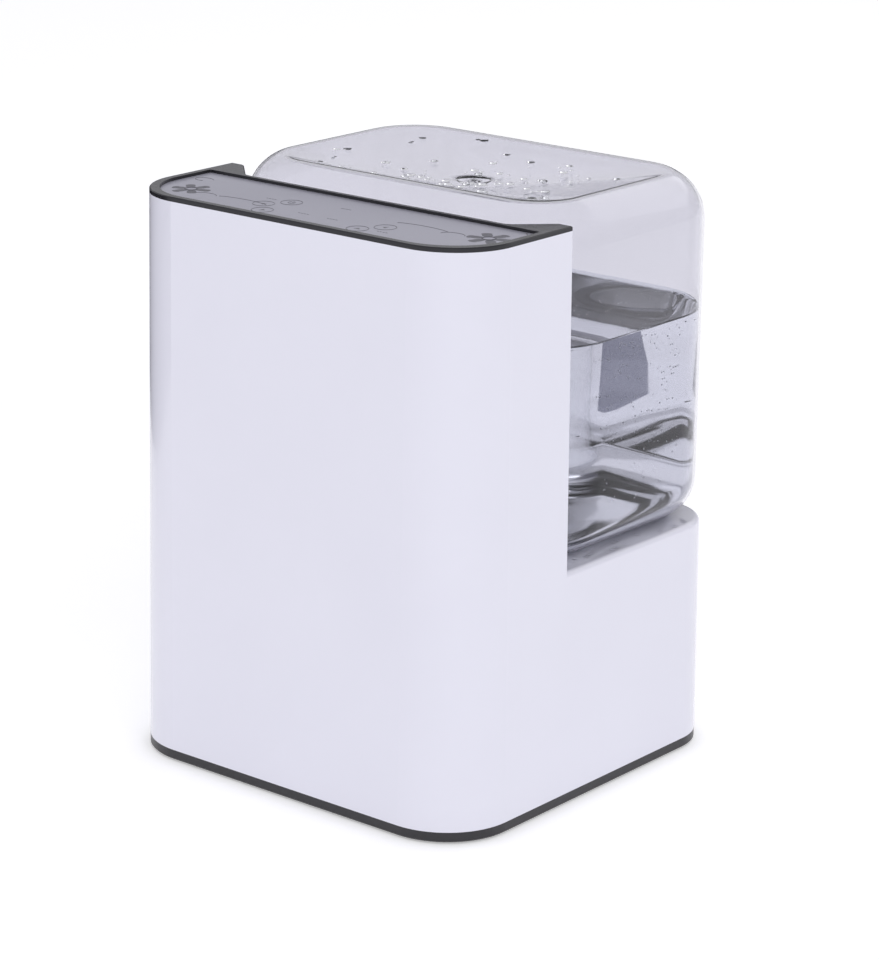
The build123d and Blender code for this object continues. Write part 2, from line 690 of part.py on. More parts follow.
with BuildPart() as level_float:
    cylinder_between(float_x, chamber_y, float_low, float_low + float_height, float_r)
    fillet(edges(), 1.5)
    cylinder_between(float_x, chamber_y, float_low - 1, float_low + float_height + 1, 3.3,
                     Mode.SUBTRACT)
save(level_float, "level_float")

# boards and power
power_x, power_y = power_board_at
driver_x, driver_y = driver_board_at
board_top = board_z + board_thick
fin_count = 7
fin_pitch = 5.5


def board_blank(at, size):
    block_between((at[0] - size[0] / 2, at[0] + size[0] / 2),
                  (at[1] - size[1] / 2, at[1] + size[1] / 2), (board_z, board_top), 1.5)
    for px, py in board_corners(at, size):
        cylinder_between(px, py, board_z - 1, board_z + 3, hole_r + 0.1, Mode.SUBTRACT)


with BuildPart() as power_board:
    board_blank(power_board_at, power_board_size)
save(power_board, "power_board")

with BuildPart() as power_transformer:
    block_between((power_x - 22, power_x + 4), (power_y - 12, power_y + 12),
                  (board_top, board_top + 20), 1.5)
save(power_transformer, "power_transformer")

with BuildPart() as power_capacitors:
    for dx, dy, r, h in ((18, 10, 8, 22), (18, -10, 6, 16), (31, 0, 4, 11)):
        cylinder_between(power_x + dx, power_y + dy, board_top, board_top + h, r)
save(power_capacitors, "power_capacitors")

with BuildPart() as driver_board:
    board_blank(driver_board_at, driver_board_size)
save(driver_board, "driver_board")

with BuildPart() as heat_sink:
    block_between((driver_x - 18, driver_x + 18), (driver_y - 8, driver_y + 8),
                  (board_top, board_top + 3))
    for k in range(fin_count):
        fin_x = driver_x + fin_pitch * (k - (fin_count - 1) / 2)
        block_between((fin_x - 0.6, fin_x + 0.6), (driver_y - 8, driver_y + 8),
                      (board_top + 2, board_top + 22))
save(heat_sink, "heat_sink")

with BuildPart() as board_screws:
    for px, py in board_posts:
        screw(px, py, board_top, 8, up=False)
save(board_screws, "board_screws")

rear_inside = rear_y - draft_slope * grille_high - shell_wall
with BuildPart() as power_inlet:
    rear_face = rear_y - draft_slope * inlet_z
    block_between((inlet_x - inlet_width / 2 + slip, inlet_x + inlet_width / 2 - slip),
                  (rear_face - 18, rear_face - 0.3),
                  (inlet_z - inlet_height / 2 + slip, inlet_z + inlet_height / 2 - slip))
    block_between((inlet_x - inlet_width / 2 - 3, inlet_x + inlet_width / 2 + 3),
                  (rear_face - shell_wall - 2.6, rear_face - shell_wall - 0.4),
                  (inlet_z - inlet_height / 2 - 3, inlet_z + inlet_height / 2 + 3))
    with BuildSketch(Plane.XZ.offset(-rear_face)):
        with Locations((inlet_x, inlet_z)):
            SlotOverall(17, 8.6)
    extrude(amount=13, mode=Mode.SUBTRACT)
    with BuildSketch(Plane.XZ.offset(-rear_face + 13.5)):
        with Locations((inlet_x - 4.2, inlet_z), (inlet_x + 4.2, inlet_z)):
            Circle(1.2)
    extrude(amount=-9)
save(power_inlet, "power_inlet")

with BuildPart() as intake_grille:
    block_between((grille_x - grille_width / 2 + slip, grille_x + grille_width / 2 - slip),
                  (rear_inside - 0.4, rear_y - draft_slope * grille_high - 0.3),
                  (grille_low + slip, grille_high - slip))
    block_between((grille_x - grille_width / 2 - 4, grille_x + grille_width / 2 + 4),
                  (rear_inside - 2.2, rear_inside - 0.4), (grille_low - 4, grille_high + 4))
    for k in range(16):
        slot_x = grille_x - 42 + 5.6 * k
        block_between((slot_x - 1.4, slot_x + 1.4), (rear_inside - 3, rear_y + 1),
                      (grille_low + 4, grille_high - 4), mode=Mode.SUBTRACT)
save(intake_grille, "intake_grille")

with BuildPart() as intake_filter:
    block_between((grille_x - grille_width / 2, grille_x + grille_width / 2),
                  (rear_inside - 2.2 - 5, rear_inside - 2.2), (grille_low, grille_high), 2)
save(intake_filter, "intake_filter")

# tank
def bottle_body(inset):
    """Rounded block with a dished top, drawn in from the outside by inset."""
    block_between((-tank_width / 2 + inset, tank_width / 2 - inset),
                  (tank_front + inset, tank_rear - inset),
                  (tank_z + inset, tank_top - inset), tank_corner_r - inset)
    fillet(edges().group_by(Axis.Z)[-1], tank_top_r - inset)
    fillet(edges().group_by(Axis.Z)[0], tank_foot_r - inset)
    with BuildSketch(Plane.XY.offset(tank_top - inset)) as dish:
        with Locations((0, tank_y)):
            RectangleRounded(tank_width - 2 * dish_margin, tank_depth - 2 * dish_margin,
                             tank_corner_r - dish_margin + 4)
    extrude(dish.sketch, amount=-dish_depth, taper=dish_angle, mode=Mode.SUBTRACT)


with BuildPart() as tank_inside:
    bottle_body(tank_wall)

neck_low = tank_z - neck_length
with BuildPart() as tank_bottle:
    bottle_body(0)
    add(tank_inside.part, mode=Mode.SUBTRACT)
    cylinder_between(0, tank_y, tank_z - 1, tank_z + tank_wall + 1, neck_r, Mode.SUBTRACT)
save(tank_bottle, "tank_bottle")

# neck ring, bonded into the bottle's foot with its flange inside
with BuildPart() as tank_neck:
    cylinder_between(0, tank_y, neck_low, tank_z + tank_wall + flange_thick, neck_r)
    for k in range(2):
        bead_z = neck_low + 6 + 7 * k
        cylinder_between(0, tank_y, bead_z, bead_z + 2, neck_r + 1.2)
    cylinder_between(0, tank_y, tank_z + tank_wall, tank_z + tank_wall + flange_thick,
                     neck_r + flange_reach)
    cylinder_between(0, tank_y, neck_low - 1, tank_z + tank_wall + flange_thick + 1,
                     neck_r - neck_wall, Mode.SUBTRACT)
save(tank_neck, "tank_neck")

# tank cap and valve
cap_inner_r = neck_r + 1.2 + 0.4
cap_outer_r = cap_inner_r + cap_wall
port_r = 9.0
cage_top = cap_bottom + cap_end + 15.0
stem_r = 2.5
with BuildPart() as tank_cap:
    cylinder_between(0, tank_y, cap_bottom, cap_bottom + 24, cap_outer_r)
    chamfer(edges().group_by(Axis.Z)[0], 1.0)
    for k in range(30):
        with BuildSketch(Plane.XY.offset(cap_bottom + 3)):
            with Locations((0, tank_y)):
                with PolarLocations(cap_outer_r, 1, start_angle=12 * k):
                    Circle(0.9)
        extrude(amount=20)
    cylinder_between(0, tank_y, cap_bottom + cap_end, cap_bottom + 30, cap_inner_r, Mode.SUBTRACT)
    cylinder_between(0, tank_y, cap_bottom + cap_end - 1, cage_top, 19)
    cylinder_between(0, tank_y, cap_bottom + cap_end, cage_top - 2.5, 16.5, Mode.SUBTRACT)
    for k in range(3):
        with BuildSketch(Plane.XY.offset(cap_bottom + cap_end)):
            with Locations((0, tank_y)):
                with PolarLocations(18, 1, start_angle=60 + 120 * k):
                    Rectangle(10, 24)
        extrude(amount=cage_top - 2.5 - cap_bottom - cap_end - 0.5, mode=Mode.SUBTRACT)
    cylinder_between(0, tank_y, cap_bottom - 1, cap_bottom + cap_end + 1, port_r, Mode.SUBTRACT)
    cylinder_between(0, tank_y, cage_top - 4, cage_top + 1, stem_r + running, Mode.SUBTRACT)
save(tank_cap, "tank_cap")

with BuildPart() as cap_seal:
    cylinder_between(0, tank_y, cap_bottom + cap_end, neck_low, neck_r + 0.2)
    cylinder_between(0, tank_y, cap_bottom, neck_low + 1, neck_r - neck_wall - 0.5, Mode.SUBTRACT)
save(cap_seal, "cap_seal")

valve_r = port_r + 3.0
seal_z = cap_bottom + cap_end + 0.05
stem_top = cage_top + 2
with BuildPart() as valve_seal:
    cylinder_between(0, tank_y, seal_z, seal_z + 1.6, valve_r)
    cylinder_between(0, tank_y, seal_z - 1, seal_z + 2, stem_r, Mode.SUBTRACT)
save(valve_seal, "valve_seal")

with BuildPart() as valve_stem:
    cylinder_between(0, tank_y, stem_low, stem_top, stem_r)
    cylinder_between(0, tank_y, seal_z + 1.6, seal_z + 2.6, valve_r - 1)
    fillet(edges().group_by(Axis.Z)[0], 0.8)
save(valve_stem, "valve_stem")

with BuildPart() as valve_spring:
    wire_r = 0.5
    coil_bottom = seal_z + 2.6 + wire_r
    coil_top = cage_top - 2.5 - wire_r
    with BuildLine() as coil:
        Helix(pitch=(coil_top - coil_bottom) / 4, height=coil_top - coil_bottom, radius=5.0,
              center=(0, tank_y, coil_bottom))
    with BuildSketch(Plane(coil.line @ 0, z_dir=coil.line % 0)):
        Circle(wire_r)
    sweep(is_frenet=True)
save(valve_spring, "valve_spring")
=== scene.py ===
import bpy
import bmesh
import math
import random
from mathutils import Matrix, Vector


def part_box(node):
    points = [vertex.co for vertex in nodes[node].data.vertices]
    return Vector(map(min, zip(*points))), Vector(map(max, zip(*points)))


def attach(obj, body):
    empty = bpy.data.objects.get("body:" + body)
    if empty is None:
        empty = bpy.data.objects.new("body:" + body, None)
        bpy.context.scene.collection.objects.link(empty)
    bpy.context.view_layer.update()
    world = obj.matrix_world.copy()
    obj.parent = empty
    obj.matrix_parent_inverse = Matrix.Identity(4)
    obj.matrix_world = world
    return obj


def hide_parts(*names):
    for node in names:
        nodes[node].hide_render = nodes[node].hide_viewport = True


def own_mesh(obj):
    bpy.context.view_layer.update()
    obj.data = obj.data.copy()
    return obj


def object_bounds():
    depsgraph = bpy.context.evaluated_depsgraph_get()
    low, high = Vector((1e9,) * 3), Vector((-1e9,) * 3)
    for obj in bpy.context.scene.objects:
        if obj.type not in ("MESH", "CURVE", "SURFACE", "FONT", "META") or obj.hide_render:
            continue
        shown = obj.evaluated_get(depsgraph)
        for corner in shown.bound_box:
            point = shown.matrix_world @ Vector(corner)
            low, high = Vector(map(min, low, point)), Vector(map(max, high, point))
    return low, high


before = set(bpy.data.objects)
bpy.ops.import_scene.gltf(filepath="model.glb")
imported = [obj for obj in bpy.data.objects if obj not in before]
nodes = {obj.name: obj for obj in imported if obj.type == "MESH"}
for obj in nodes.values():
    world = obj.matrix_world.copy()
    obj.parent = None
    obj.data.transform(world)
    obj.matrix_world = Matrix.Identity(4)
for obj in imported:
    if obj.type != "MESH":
        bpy.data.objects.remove(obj)        # bodies, nodes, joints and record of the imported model
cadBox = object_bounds()
scene = bpy.context.scene
mm = 0.001
print("humidifier: frame loaded,", len(nodes), "nodes")


class Wire:
    # one shader socket that can take part in a sum
    def __init__(self, finish, socket):
        self.finish = finish
        self.socket = socket

    def sum(self, operation, first, second):
        return self.finish.add("ShaderNodeMath", {"operation": operation}, {0: first, 1: second})

    def __add__(self, other):
        return self.sum("ADD", self, other)

    def __radd__(self, other):
        return self.sum("ADD", other, self)

    def __sub__(self, other):
        return self.sum("SUBTRACT", self, other)

    def __rsub__(self, other):
        return self.sum("SUBTRACT", other, self)

    def __mul__(self, other):
        return self.sum("MULTIPLY", self, other)

    def __rmul__(self, other):
        return self.sum("MULTIPLY", other, self)


class Finish:
    # a material: fixed values go straight on the shader's own sockets
    def __init__(self, name, **fixed):
        self.material = bpy.data.materials.new(name)
        self.material.use_nodes = True
        self.tree = self.material.node_tree
        self.shader = self.tree.nodes["Principled BSDF"]
        for socket, value in fixed.items():
            self.shader.inputs[socket.replace("_", " ")].default_value = value
        self.coords = None

    def add(self, kind, settings, inputs, output=0):
        made = self.tree.nodes.new(kind)
        for setting, value in settings.items():
            if setting == "stops":
                while len(made.color_ramp.elements) < len(value):
                    made.color_ramp.elements.new(0.5)
                for element, (place, colour) in zip(made.color_ramp.elements, value):
                    element.position = place
                    element.color = colour
            else:
                setattr(made, setting, value)
        for key, value in inputs.items():
            if isinstance(value, Wire):
                self.tree.links.new(value.socket, made.inputs[key])
            else:
                made.inputs[key].default_value = value
        return Wire(self, made.outputs[output])

    def place(self):
        if self.coords is None:
            self.coords = self.add("ShaderNodeTexCoord", {}, {}, "Object")
        return self.coords

    def noise(self, scale, detail=2.0, roughness=0.5, stretch=(1, 1, 1)):
        spot = self.add("ShaderNodeMapping", {}, {"Vector": self.place(), "Scale": stretch})
        return self.add("ShaderNodeTexNoise", {}, {"Vector": spot, "Scale": scale,
                                                   "Detail": detail, "Roughness": roughness})

    def ramp(self, wire, low, high, start=0.0, end=1.0):
        return self.add("ShaderNodeMapRange", {}, {"Value": wire, "From Min": low, "From Max": high,
                                                   "To Min": start, "To Max": end})

    def tint(self, share, first, second):
        return self.add("ShaderNodeMix", {"data_type": "RGBA"},
                        {0: share, 6: (*first, 1), 7: (*second, 1)}, 2)

    def feed(self, socket, wire):
        self.tree.links.new(wire.socket, self.shader.inputs[socket])

    def bump(self, height, distance, strength=1.0):
        self.feed("Normal", self.add("ShaderNodeBump", {}, {"Height": height, "Distance": distance,
                                                            "Strength": strength}))


def dress(names, finish):
    for name in names:
        mesh = nodes[name].data
        mesh.materials.clear()
        mesh.materials.append(finish.material)


camera = {"azimuth": 39.42, "elevation": 16.91, "roll": 0.68, "distance": 1.809, "lens": 124.4,
          "aim": (0, -0.0035, 0.156), "shiftX": 0.0166, "shiftY": -0.0095}


def setCamera():
    low, high = cadBox
    aim = Vector(((low.x + high.x) / 2, (low.y + high.y) / 2, low.z)) + Vector(camera["aim"])
    turn, rise = math.radians(camera["azimuth"]), math.radians(camera["elevation"])
    back = Vector((math.sin(turn) * math.cos(rise), -math.cos(turn) * math.cos(rise), math.sin(rise)))
    data = bpy.data.cameras.new("camera")
    data.lens = camera["lens"]
    data.sensor_width = 36
    data.shift_x = camera["shiftX"]
    data.shift_y = camera["shiftY"]
    data.clip_end = 100
    eye = bpy.data.objects.new("camera", data)
    scene.collection.objects.link(eye)
    eye.rotation_mode = "QUATERNION"
    eye.location = aim + back * camera["distance"]
    facing = (-back).to_track_quat("-Z", "Y").to_matrix().to_4x4()
    lean = Matrix.Rotation(math.radians(camera["roll"]), 4, "Z")
    eye.rotation_quaternion = (facing @ lean).to_quaternion()
    scene.camera = eye


studio = {"sky": (0.80, 0.80, 0.84), "skyStrength": 0.80, "floorGlow": 0.36,
          "floorSize": 30.0, "floorDrop": 0.0002,
          "lights": (  # name, place, aim, size and power
              ("keyLight", (1.6, -1.2, 1.9), (0, 0, 0.15), (1.6, 1.6), 9),
              ("sideLight", (-1.8, -1.6, 1.2), (0, 0, 0.15), (1.0, 1.8), 2),
              ("backLight", (0.3, 2.2, 1.6), (0, 0, 0.2), (2.2, 1.2), 6),
              ("cornerLight", (1.05, -1.25, 0.75), (0.08, -0.1, 0.2), (0.3, 1.3), 0.9)),
          # the shades are dark floor patches that only the water's inner reflections reach
          "cards": (  # name, corners, colour and the rays that meet it
              ("leftFlag", ((-0.7, -0.6, 0), (-0.7, 1.6, 0), (-0.7, 1.6, 0.42), (-0.7, -0.6, 0.42)),
               (0.02, 0.02, 0.025), ("glossy",)),
              ("wideShade", ((-0.60, -0.65, 0.001), (-0.45, -0.398, 0.001),
                             (-0.385, -0.46, 0.001), (-0.52, -0.66, 0.001)),
               (0.40, 0.41, 0.49), ("transmission",)),
              ("paleShade", ((-0.435, -0.498, 0.002), (-0.485, -0.462, 0.002),
                             (-0.452, -0.428, 0.002), (-0.39, -0.468, 0.002)),
               (0.42, 0.43, 0.51), ("transmission",)),
              ("slimShade", ((-0.75, -0.33, 0.001), (-0.45, -0.33, 0.001),
                             (-0.45, -0.03, 0.001), (-0.75, -0.03, 0.001)),
               (0.26, 0.27, 0.32), ("transmission",)))}


def areaLight(name, place, aim, size, power):
    data = bpy.data.lights.new(name, "AREA")
    data.shape = "RECTANGLE"
    data.size, data.size_y = size
    data.energy = power
    lamp = bpy.data.objects.new(name, data)
    scene.collection.objects.link(lamp)
    lamp.location = place
    lamp.rotation_mode = "QUATERNION"
    lamp.rotation_quaternion = (Vector(aim) - Vector(place)).to_track_quat("-Z", "Y")


def card(name, corners, colour, sees):
    # a sheet that only the named kinds of ray meet
    bm = bmesh.new()
    bm.faces.new([bm.verts.new(corner) for corner in corners])
    mesh = bpy.data.meshes.new(name)
    bm.to_mesh(mesh)
    bm.free()
    sheet = bpy.data.objects.new(name, mesh)
    scene.collection.objects.link(sheet)
    mesh.materials.append(Finish(name, Base_Color=(*colour, 1), Roughness=0.9,
                                 Specular_IOR_Level=0.0).material)
    for kind in ("camera", "diffuse", "glossy", "transmission", "shadow"):
        setattr(sheet, "visible_" + kind, kind in sees)


def setStudio():
    scene.view_settings.view_transform = "Standard"
    scene.view_settings.look = "None"
    world = bpy.data.worlds.new("studio")
    scene.world = world
    world.use_nodes = True
    sky = world.node_tree.nodes["Background"]
    sky.inputs["Color"].default_value = (*studio["sky"], 1)
    sky.inputs["Strength"].default_value = studio["skyStrength"]
    bm = bmesh.new()
    bmesh.ops.create_grid(bm, x_segments=1, y_segments=1, size=studio["floorSize"] / 2)
    bmesh.ops.translate(bm, verts=bm.verts, vec=(0, 0, cadBox[0].z - studio["floorDrop"]))
    mesh = bpy.data.meshes.new("floor")
    bm.to_mesh(mesh)
    bm.free()
    floor = bpy.data.objects.new("floor", mesh)
    scene.collection.objects.link(floor)
    pale = Finish("paleFloor", Base_Color=(0.92, 0.92, 0.93, 1), Roughness=0.7,
                  Emission_Color=(1, 1, 1, 1), Emission_Strength=studio["floorGlow"])
    mesh.materials.append(pale.material)
    for row in studio["lights"]:
        areaLight(*row)
    for row in studio["cards"]:
        card(*row)


setCamera()
setStudio()
print("humidifier: camera and studio ready")


def whiteShell():
    look = Finish("whiteShell", Base_Color=(0.78, 0.775, 0.86, 1), Coat_Weight=0.35, Coat_Roughness=0.06,
                  IOR=1.49)
    waves = look.noise(14, 2)
    peel = look.noise(950, 1)
    look.feed("Base Color", look.tint(look.ramp(waves, 0.3, 0.7), (0.775, 0.77, 0.855), (0.79, 0.785, 0.87)))
    look.feed("Roughness", look.ramp(waves, 0.3, 0.7, 0.20, 0.26))
    look.bump(peel, 0.00001, 0.35)
    return look


def satinBlack(name, colour, rough, grain, depth=0.00003, specular=0.5):
    look = Finish(name, Base_Color=(*colour, 1), IOR=1.5, Specular_IOR_Level=specular)
    fine = look.noise(grain, 3)
    broad = look.noise(25, 2)
    look.feed("Base Color", look.tint(broad, colour, [c * 1.35 for c in colour]))
    look.feed("Roughness", look.ramp(fine, 0.3, 0.7, rough - 0.05, rough + 0.07))
    look.bump(fine, depth, 0.4)
    return look


def plainPlastic(name, colour, rough, grain=700, depth=0.00002):
    look = Finish(name, Base_Color=(*colour, 1), IOR=1.5)
    fine = look.noise(grain, 3)
    broad = look.noise(30, 2)
    look.feed("Base Color", look.tint(broad, [c * 0.96 for c in colour], [min(c * 1.04, 1) for c in colour]))
    look.feed("Roughness", look.ramp(fine, 0.3, 0.7, rough - 0.04, rough + 0.06))
    look.bump(fine, depth, 0.5)
    return look


def metalFinish(name, colour, rough, stretch=(1, 1, 14)):
    look = Finish(name, Base_Color=(*colour, 1), Metallic=1.0)
    brushed = look.noise(900, 2, 0.6, stretch)
    look.feed("Base Color", look.tint(brushed, [c * 0.88 for c in colour], colour))
    look.feed("Roughness", look.ramp(brushed, 0.3, 0.7, rough - 0.06, rough + 0.08))
    look.bump(brushed, 0.00001, 0.4)
    return look


def boardFinish():
    look = Finish("solderMask", Base_Color=(0.02, 0.16, 0.07, 1), IOR=1.5, Coat_Weight=0.4)
    spot = look.add("ShaderNodeMapping", {}, {"Vector": look.place(), "Scale": (220, 220, 1)})
    tracks = look.add("ShaderNodeTexVoronoi", {"feature": "DISTANCE_TO_EDGE"}, {"Vector": spot, "Scale": 1.0})
    line = look.ramp(tracks, 0.04, 0.07, 1.0, 0.0)
    look.feed("Base Color", look.tint(line, (0.015, 0.13, 0.055), (0.05, 0.26, 0.11)))
    look.feed("Roughness", look.ramp(look.noise(500), 0.3, 0.7, 0.28, 0.4))
    look.bump(line, 0.00004, 0.4)
    return look


def foamFinish():
    look = Finish("filterFoam", Base_Color=(0.03, 0.03, 0.035, 1))
    cells = look.add("ShaderNodeTexVoronoi", {}, {"Vector": look.place(), "Scale": 900.0})
    look.feed("Base Color", look.tint(cells, (0.01, 0.01, 0.012), (0.08, 0.08, 0.09)))
    look.feed("Roughness", look.ramp(cells, 0, 1, 0.8, 0.95))
    look.bump(cells, 0.0004, 0.8)
    return look


def filmFinish():
    look = Finish("panelFilm", Metallic=0.35, IOR=1.5, Coat_Weight=0.25, Coat_Roughness=0.2)
    flake = look.noise(2600, 2)
    sheen = look.noise(9, 1)
    look.feed("Base Color", look.tint(look.ramp(sheen, 0.3, 0.7), (0.41, 0.405, 0.475), (0.45, 0.445, 0.515)))
    look.feed("Roughness", look.ramp(flake, 0.3, 0.7, 0.34, 0.46))
    look.bump(flake, 0.00001, 0.4)
    return look


def clearFinish(name, colour):
    clear = Finish(name, Base_Color=(*colour, 1), Transmission_Weight=1.0, IOR=1.24)
    drift = clear.noise(6, 2, 0.5, (1, 1, 0.35))
    clear.feed("Roughness", clear.ramp(drift, 0.3, 0.7, 0.0, 0.02))
    clear.bump(drift, 0.0012, 0.25)
    return clear


def dressNodes():
    white = whiteShell()
    dress(["housing_shell", "tower_back_panel"], white)
    dress(["base_plate", "mist_outlet", "power_inlet", "intake_grille"],
          satinBlack("satinBlack", (0.016, 0.015, 0.018), 0.36, 800))
    dress(["top_cover"], satinBlack("coverBlack", (0.018, 0.0175, 0.021), 0.2, 1400, 0.000006, 0.32))
    dress(["control_panel"], filmFinish())
    dress(["control_board", "power_board", "driver_board"], boardFinish())
    dress(["foot_pads"], satinBlack("footRubber", (0.02, 0.02, 0.022), 0.7, 500))
    dress(["water_basin", "chamber_lid", "mist_riser", "mist_elbow", "mist_tail",
           "valve_pin", "level_post"],
          plainPlastic("innerPlastic", (0.62, 0.63, 0.66), 0.45))
    dress(["tank_cap", "valve_stem"], plainPlastic("capPlastic", (0.78, 0.79, 0.85), 0.3))
    dress(["level_float"], plainPlastic("floatFoam", (0.85, 0.84, 0.8), 0.7, 400, 0.0001))
    dress(["fan_frame", "fan_rotor"], satinBlack("fanPlastic", (0.022, 0.022, 0.025), 0.42, 600))
    dress(["power_transformer", "power_capacitors"], satinBlack("caseBlue", (0.03, 0.04, 0.09), 0.4, 600))
    dress(["lid_gasket", "transducer_seal", "cap_seal", "valve_seal"],
          plainPlastic("silicone", (0.72, 0.72, 0.69), 0.55, 500, 0.00004))
    dress(["base_screws", "cover_screws", "control_screws", "basin_screws", "lid_screws",
           "transducer_screws", "transducer_plate", "fan_screws", "fan_shaft", "board_screws",
           "touch_springs", "valve_spring"], metalFinish("zincSteel", (0.62, 0.62, 0.65), 0.3))
    dress(["heat_sink"], metalFinish("finAluminium", (0.72, 0.72, 0.74), 0.35, (14, 1, 1)))
    dress(["fan_stator"], metalFinish("copperWinding", (0.62, 0.29, 0.12), 0.35, (1, 1, 30)))
    dress(["transducer_disc"], metalFinish("silveredDisc", (0.78, 0.76, 0.7), 0.4))
    dress(["tank_neck"], clearFinish("clearNeck", (0.86, 0.86, 0.9)))
    dress(["indicator_leds"], plainPlastic("lampLens", (0.75, 0.85, 0.92), 0.15))
    dress(["intake_filter"], foamFinish())


dressNodes()
print("humidifier: CAD pieces dressed")


def finishPiece(bm, name, finish, body, sharpAngle=None):
    mesh = bpy.data.meshes.new(name)
    bm.to_mesh(mesh)
    bm.free()
    mesh.materials.append(finish.material)
    mesh.polygons.foreach_set("use_smooth", [True] * len(mesh.polygons))
    if sharpAngle is not None:
        mesh.set_sharp_from_angle(angle=math.radians(sharpAngle))
    piece = bpy.data.objects.new(name, mesh)
    scene.collection.objects.link(piece)
    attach(piece, body)
    return piece


def roundedRing(bm, centre, halfX, halfY, corner, z, steps):
    # closed loop of edges: four quarter arcs joined by straight stretches
    corner = min(corner, halfX, halfY)
    ring = []
    for quarter in range(4):
        signX = (1, -1, -1, 1)[quarter]
        signY = (1, 1, -1, -1)[quarter]
        for step in range(steps + 1):
            angle = math.pi / 2 * (quarter + step / steps)
            ring.append(bm.verts.new((centre.x + signX * (halfX - corner) + corner * math.cos(angle),
                                      centre.y + signY * (halfY - corner) + corner * math.sin(angle), z)))
    return [bm.edges.new((ring[k], ring[(k + 1) % len(ring)])) for k in range(len(ring))]


def loft(bm, loops):
    for lower, upper in zip(loops, loops[1:]):
        bmesh.ops.bridge_loops(bm, edges=lower + upper)


# the bottle, its dished top with the gate mark, and the water in it
tank = {"wall": 1.3, "corner": 48.0, "topRound": 28.0, "footRound": 22.0, "steps": 14,
        "neckR": 32.0, "footCrown": 2.6, "footShares": (0.12, 0.3, 0.55, 0.8), "footArc": 10, "wallRings": 8,
        "ridgeTurn": 65.0, "ridgeRound": 9.0, "shoulderArc": 12, "ridgeArc": 6,
        "dishSlope": 12.0, "dishCentre": 311.0, "dishPower": 1.6,
        "dishShares": (0.03, 0.07, 0.12, 0.18, 0.25, 0.33, 0.42, 0.52, 0.62, 0.72, 0.81, 0.9),
        "gateHalf": 11.0, "gateCorner": 20.0,
        "gate": ((10.5, 0.0), (9.5, 0.5), (8.5, 0.5), (7.5, -0.3), (3.0, -0.6), (2.2, 0.6)),  # radius and rise
        "colour": (0.81, 0.805, 0.845),
        "waterTop": 249.0, "film": 0.15, "neckGap": 1.0, "waterLift": 0.4, "waterRings": 5,
        "meniscus": ((0.6, 0.9), (1.6, 1.4), (4.0, 1.8)),  # inset and drop
        # the lower water's darker colour is painted shade, standing in for the shadowed deck under the tank
        "waterColour": (0.88, 0.90, 0.94), "paintedShadeColour": (0.77, 0.80, 0.86), "deepBlur": 0.08,
        "paintedShadeFrom": 12.0, "paintedShadeTo": 75.0}


def tankPlan():
    low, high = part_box("tank_bottle")
    centre = Vector(((low.x + high.x) / 2, (low.y + high.y) / 2, 0))
    return centre, (high.x - low.x) / 2, (high.y - low.y) / 2, high.z


def footLoops(bm, centre, halfX, halfY, corner, footR, neck, footZ, lift):
    # from the edge of the neck over the crowned foot and up its rounding
    steps, arc = tank["steps"], tank["footArc"]
    loops = [roundedRing(bm, centre, neck, neck, neck, footZ + lift, steps)]
    for share in tank["footShares"]:
        wideX = neck + (halfX - footR - neck) * share
        wideY = neck + (halfY - footR - neck) * share
        crown = tank["footCrown"] * mm * math.sin(math.pi * share) ** 2
        loops.append(roundedRing(bm, centre, wideX, wideY, neck + (corner - footR - neck) * share,
                                 footZ + (lift + crown), steps))
    for step in range(arc + 1):
        angle = math.pi / 2 * step / arc
        inset = footR * (1 - math.sin(angle))
        loops.append(roundedRing(bm, centre, halfX - inset, halfY - inset, corner - inset,
                                 footZ + footR * (1 - math.cos(angle)), steps))
    return loops


def buildTank():
    centre, halfX, halfY, topZ = tankPlan()
    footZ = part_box("tank_bottle")[0].z
    corner, steps, rings = tank["corner"] * mm, tank["steps"], tank["wallRings"]
    footR = tank["footRound"] * mm
    bm = bmesh.new()
    loops = footLoops(bm, centre, halfX, halfY, corner, footR, tank["neckR"] * mm, footZ, 0)
    ridge = ridgeSteps(topZ)
    span = ridge[0][1] - footZ - footR
    for step in range(1, rings):
        loops.append(roundedRing(bm, centre, halfX, halfY, corner, footZ + footR + span * step / rings, steps))
    for inset, z in ridge:
        loops.append(roundedRing(bm, centre, halfX - inset, halfY - inset, corner - inset, z, steps))
    inset = ridge[-1][0]
    for share in tank["dishShares"]:
        wideX = (halfX - inset) * (1 - share) + tank["gateHalf"] * mm * share
        wideY = (halfY - inset) * (1 - share) + tank["gateHalf"] * mm * share
        cornerR = (corner - inset) * (1 - share) + tank["gateCorner"] * mm * share
        loops.append(roundedRing(bm, centre, wideX, wideY, cornerR, dishHeight(share, topZ), steps))
    middle = dishHeight(1, topZ)
    for radius, rise in tank["gate"]:
        radius = radius * mm
        loops.append(roundedRing(bm, centre, radius, radius, radius, middle + rise * mm, steps))
    loft(bm, loops)
    bmesh.ops.contextual_create(bm, geom=loops[-1])
    bmesh.ops.remove_doubles(bm, verts=bm.verts, dist=0.00001)
    bmesh.ops.recalc_face_normals(bm, faces=bm.faces)
    bmesh.ops.solidify(bm, geom=bm.faces[:], thickness=tank["wall"] * mm)
    bmesh.ops.recalc_face_normals(bm, faces=bm.faces)
    piece = finishPiece(bm, "tank_clear_bottle", clearFinish("clearBottle", tank["colour"]),
                        "tank")
    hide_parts("tank_bottle")
    return centre, halfX, halfY, topZ, footZ


